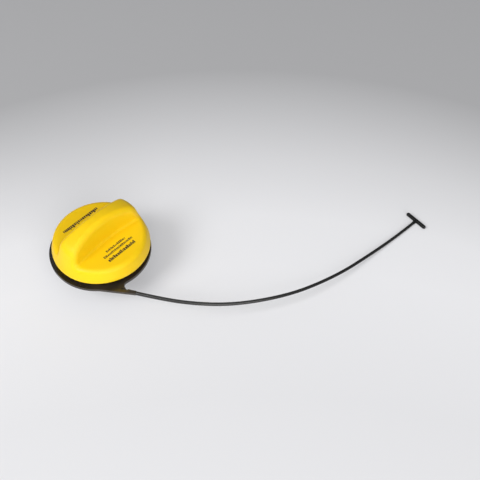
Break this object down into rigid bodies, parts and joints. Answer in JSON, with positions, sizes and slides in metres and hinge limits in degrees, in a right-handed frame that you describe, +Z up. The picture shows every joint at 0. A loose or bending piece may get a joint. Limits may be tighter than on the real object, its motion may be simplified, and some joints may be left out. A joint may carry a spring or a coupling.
{
  "type": "fuel filler cap",
  "caption": "Screw-in fuel filler cap with a hand grip bar, a click ratchet, a vent valve and a tether strap that ends in a toggle.",
  "frame": {"origin": "centre of the stem's end face, on the cap's axis", "axes": "+Z up the cap's axis from the stem to the grip bar; the strap runs off towards +X and then +Y"},
  "size_m": [0.3195, 0.1134, 0.0643],
  "materials": {
    "knob_plastic": "satin moulded yellow plastic",
    "black_plastic": "moulded black plastic",
    "natural_plastic": "natural acetal",
    "tether_plastic": "smooth flexible black plastic",
    "seal_rubber": "black sealing rubber",
    "spring_steel": "bright spring steel"
  },
  "bodies": {
    "closure": {"closure_body": "black_plastic", "main_seal": "seal_rubber", "valve_housing": "black_plastic", "housing_seal": "seal_rubber", "valve_cover": "black_plastic"},
    "knob": {"knob_shell": "knob_plastic", "retainer_ring": "black_plastic"},
    "drive": {"drive_ring": "natural_plastic", "wave_spring": "spring_steel"},
    "tether": {"tether_ring": "tether_plastic", "tether_strap": "tether_plastic", "tether_toggle": "tether_plastic"},
    "pressure_valve": {"pressure_plate": "natural_plastic", "pressure_seal": "seal_rubber", "pressure_spring": "spring_steel"},
    "vacuum_valve": {"vacuum_valve": "natural_plastic", "vacuum_clip": "spring_steel", "vacuum_spring": "spring_steel"}
  },
  "joints": [
    {"name": "knob_turn", "type": "hinge", "parent": "closure", "child": "knob", "pos_m": [0, 0, 0.035], "axis": [0, 0, 1], "continuous": true},
    {"name": "click_lift", "type": "slide", "parent": "knob", "child": "drive", "axis": [0, 0, 1], "range_m": [0, 0.0012], "stiffness_N_per_m": 8000, "springref_m": -0.001, "deforming": ["wave_spring"]},
    {"name": "tether_turn", "type": "hinge", "parent": "closure", "child": "tether", "pos_m": [0, 0, 0.022], "axis": [0, 0, 1], "continuous": true},
    {"name": "pressure_lift", "type": "slide", "parent": "closure", "child": "pressure_valve", "axis": [0, 0, 1], "range_m": [0, 0.002], "stiffness_N_per_m": 1500, "springref_m": -0.004, "deforming": ["pressure_spring"]},
    {"name": "vacuum_drop", "type": "slide", "parent": "pressure_valve", "child": "vacuum_valve", "axis": [0, 0, -1], "range_m": [0, 0.0015], "stiffness_N_per_m": 300, "springref_m": -0.003, "deforming": ["vacuum_spring"]}
  ]
}
